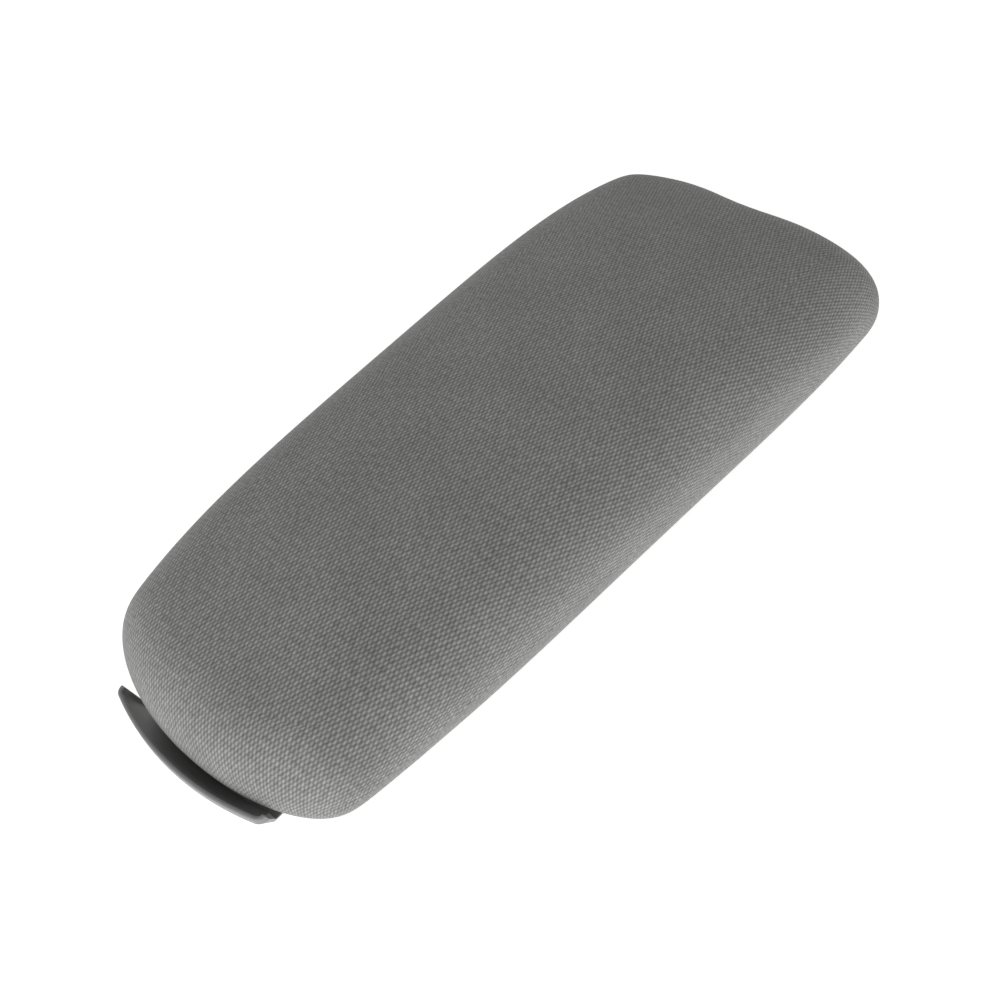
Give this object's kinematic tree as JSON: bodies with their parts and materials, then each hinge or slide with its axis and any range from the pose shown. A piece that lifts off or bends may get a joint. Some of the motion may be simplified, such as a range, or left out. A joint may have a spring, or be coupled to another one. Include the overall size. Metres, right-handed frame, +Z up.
{
  "type": "console armrest lid",
  "caption": "Padded, fabric-covered armrest lid with a crowned top, a sprung release lever with a latch hook under its front, and a bolted hinge plate under its rear.",
  "frame": {"origin": "middle of the closing face, the flat underside of the bottom liner", "axes": "+Z up, out of the padded top; +Y to the rear (hinge end), along the lid; +X to the right-hand side"},
  "size_m": [0.1236, 0.2955, 0.0615],
  "materials": {
    "cover_fabric": "woven grey upholstery fabric",
    "foam": "moulded polyurethane foam, open cell",
    "shell_plastic": "moulded, satin",
    "liner_plastic": "moulded, fine grain",
    "steel_fastener": "zinc plated",
    "staple_wire": "galvanised wire",
    "plate_steel": "black phosphate coat",
    "bracket_plastic": "glass-filled, moulded",
    "pin_steel": "ground",
    "spring_steel": "oiled spring steel",
    "rubber_black": "moulded",
    "lever_plastic": "moulded, satin grey",
    "bush_plastic": "natural acetal"
  },
  "bodies": {
    "lid": {"fabric_cover": "cover_fabric", "foam_pad": "foam", "lid_shell": "shell_plastic", "bottom_liner": "liner_plastic", "liner_screws": "steel_fastener", "cover_staples": "staple_wire", "hinge_plate": "plate_steel", "hinge_nuts": "steel_fastener", "hinge_plate_screws": "steel_fastener", "latch_bracket": "bracket_plastic", "bracket_screws": "steel_fastener", "pivot_pin": "pin_steel", "pin_clips": "spring_steel", "lever_stop_pad": "rubber_black", "bumper_front_left": "rubber_black", "bumper_front_right": "rubber_black", "bumper_rear_left": "rubber_black", "bumper_rear_right": "rubber_black", "return_spring_left": "spring_steel", "return_spring_right": "spring_steel"},
    "lever": {"release_lever": "lever_plastic", "latch_hook": "plate_steel", "hook_screws": "steel_fastener", "pivot_bush_left": "bush_plastic", "pivot_bush_right": "bush_plastic"}
  },
  "joints": [
    {"name": "lever_lift", "type": "hinge", "parent": "lid", "child": "lever", "pos_m": [0, -0.104, 0.005], "axis": [-1, 0, 0], "range_deg": [0, 4], "stiffness_Nm_per_rad": 0.25, "springref_deg": -20.05, "deforming": ["return_spring_left", "return_spring_right"]}
  ]
}
